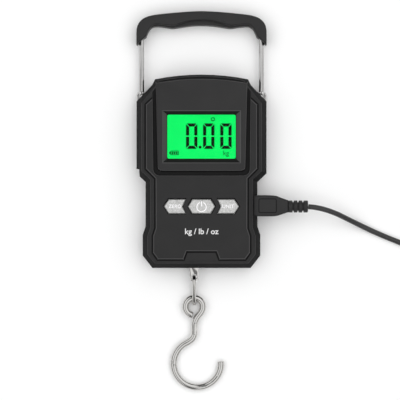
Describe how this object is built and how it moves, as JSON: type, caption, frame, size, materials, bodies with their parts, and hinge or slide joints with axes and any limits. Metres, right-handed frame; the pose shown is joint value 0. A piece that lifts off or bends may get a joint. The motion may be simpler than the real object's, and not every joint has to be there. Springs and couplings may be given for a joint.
{
  "type": "digital fish scale",
  "caption": "Hand-held hanging scale: waisted casing with display and keys, folding bail handle, wire hook on a link, side tape measure and charging lead.",
  "frame": {"origin": "on the back face, halfway along the scale from grip to hook; the scale lies on its back", "axes": "+Z out of the display, +Y towards the bail handle, +X towards the charging socket"},
  "size_m": [0.2404, 0.2526, 0.0288],
  "materials": {
    "black_casing": "finely spark-textured black moulding",
    "black_panel": "smooth satin black moulding",
    "clear_window": "clear acrylic",
    "display_green": "green lit liquid crystal display",
    "white_diffuser": "frosted",
    "board": "solder mask",
    "silver_key": "silver painted",
    "plated_steel": "nickel plated",
    "bright_metal": "polished",
    "cell_aluminium": "machined",
    "gauge_film": "polyimide film",
    "battery_wrap": "foil pouch",
    "black_grip": "satin black moulding",
    "white_plastic": "moulded",
    "yellow_tape": "lacquered yellow with printed scale",
    "spring_steel": "blued strip",
    "black_rubber": "matt moulded"
  },
  "bodies": {
    "casing": {"front_shell": "black_casing", "rear_shell": "black_casing", "display_panel": "black_panel", "display_window": "clear_window", "display_glass": "display_green", "backlight": "white_diffuser", "circuit_board": "board", "switch_left": "plated_steel", "switch_middle": "plated_steel", "switch_right": "plated_steel", "battery_cell": "battery_wrap", "radio_module": "plated_steel", "usb_socket": "plated_steel", "case_screw_1": "plated_steel", "case_screw_2": "plated_steel", "case_screw_3": "plated_steel", "case_screw_4": "plated_steel", "cell_screw_1": "plated_steel", "cell_screw_2": "plated_steel", "cell_screw_3": "plated_steel", "cell_screw_4": "plated_steel", "pivot_rod": "plated_steel", "pivot_cap_left": "bright_metal", "pivot_cap_right": "bright_metal", "load_hanger": "plated_steel", "load_cell": "cell_aluminium", "strain_gauge": "gauge_film", "pull_tab": "plated_steel", "tape_axle": "plated_steel"},
    "handle": {"handle_wire": "bright_metal", "grip_back": "black_grip", "grip_front": "black_grip"},
    "link": {"hook_link": "bright_metal"},
    "hook": {"hook": "bright_metal"},
    "key_left": {"key_left": "silver_key"},
    "key_middle": {"key_middle": "silver_key"},
    "key_right": {"key_right": "silver_key"},
    "tape": {"tape_blade": "yellow_tape", "tape_end_hook": "plated_steel", "tape_rivet_1": "plated_steel", "tape_rivet_2": "plated_steel"},
    "reel": {"tape_reel": "white_plastic", "tape_roll": "yellow_tape", "tape_spring": "spring_steel"},
    "lead": {"usb_plug_shell": "plated_steel", "usb_overmould": "black_rubber", "usb_relief": "black_rubber", "usb_cord": "black_rubber", "usb_coil": "black_rubber", "coil_tie": "black_rubber", "usb_tail": "black_rubber", "plug_a_relief": "black_rubber", "plug_a_overmould": "black_rubber", "plug_a_shell": "plated_steel"}
  },
  "joints": [
    {"name": "handle_fold", "type": "hinge", "parent": "casing", "child": "handle", "pos_m": [0, 0.0685, 0.0072], "axis": [1, 0, 0], "range_deg": [-155, 40]},
    {"name": "link_swing", "type": "hinge", "parent": "casing", "child": "link", "pos_m": [-0.0049, -0.05375, 0.0102], "axis": [1, 0, 0], "range_deg": [-60, 45]},
    {"name": "hook_swing", "type": "hinge", "parent": "link", "child": "hook", "pos_m": [-0.0049, -0.0643, 0.00515], "axis": [1, 0, 0], "range_deg": [-50, 60]},
    {"name": "key_left_press", "type": "slide", "parent": "casing", "child": "key_left", "axis": [0, 0, -1], "range_m": [0, 0.0008], "stiffness_N_per_m": 250},
    {"name": "key_middle_press", "type": "slide", "parent": "casing", "child": "key_middle", "axis": [0, 0, -1], "range_m": [0, 0.0008], "stiffness_N_per_m": 250},
    {"name": "key_right_press", "type": "slide", "parent": "casing", "child": "key_right", "axis": [0, 0, -1], "range_m": [0, 0.0008], "stiffness_N_per_m": 250},
    {"name": "tape_pull", "type": "slide", "parent": "casing", "child": "tape", "axis": [-1, 0, 0], "range_m": [0, 0.05], "stiffness_N_per_m": 15, "springref_m": -0.01},
    {"name": "reel_spin", "type": "hinge", "parent": "casing", "child": "reel", "pos_m": [0.02, -0.003, 0.0102], "axis": [0, 1, 0], "range_deg": [0, 430]},
    {"name": "plug_pull", "type": "slide", "parent": "casing", "child": "lead", "axis": [1, 0, 0], "range_m": [0, 0.015]}
  ],
  "couplings": [
    {"joint": "reel_spin", "follows": "tape_pull", "rad_per_m": 147.06}
  ]
}
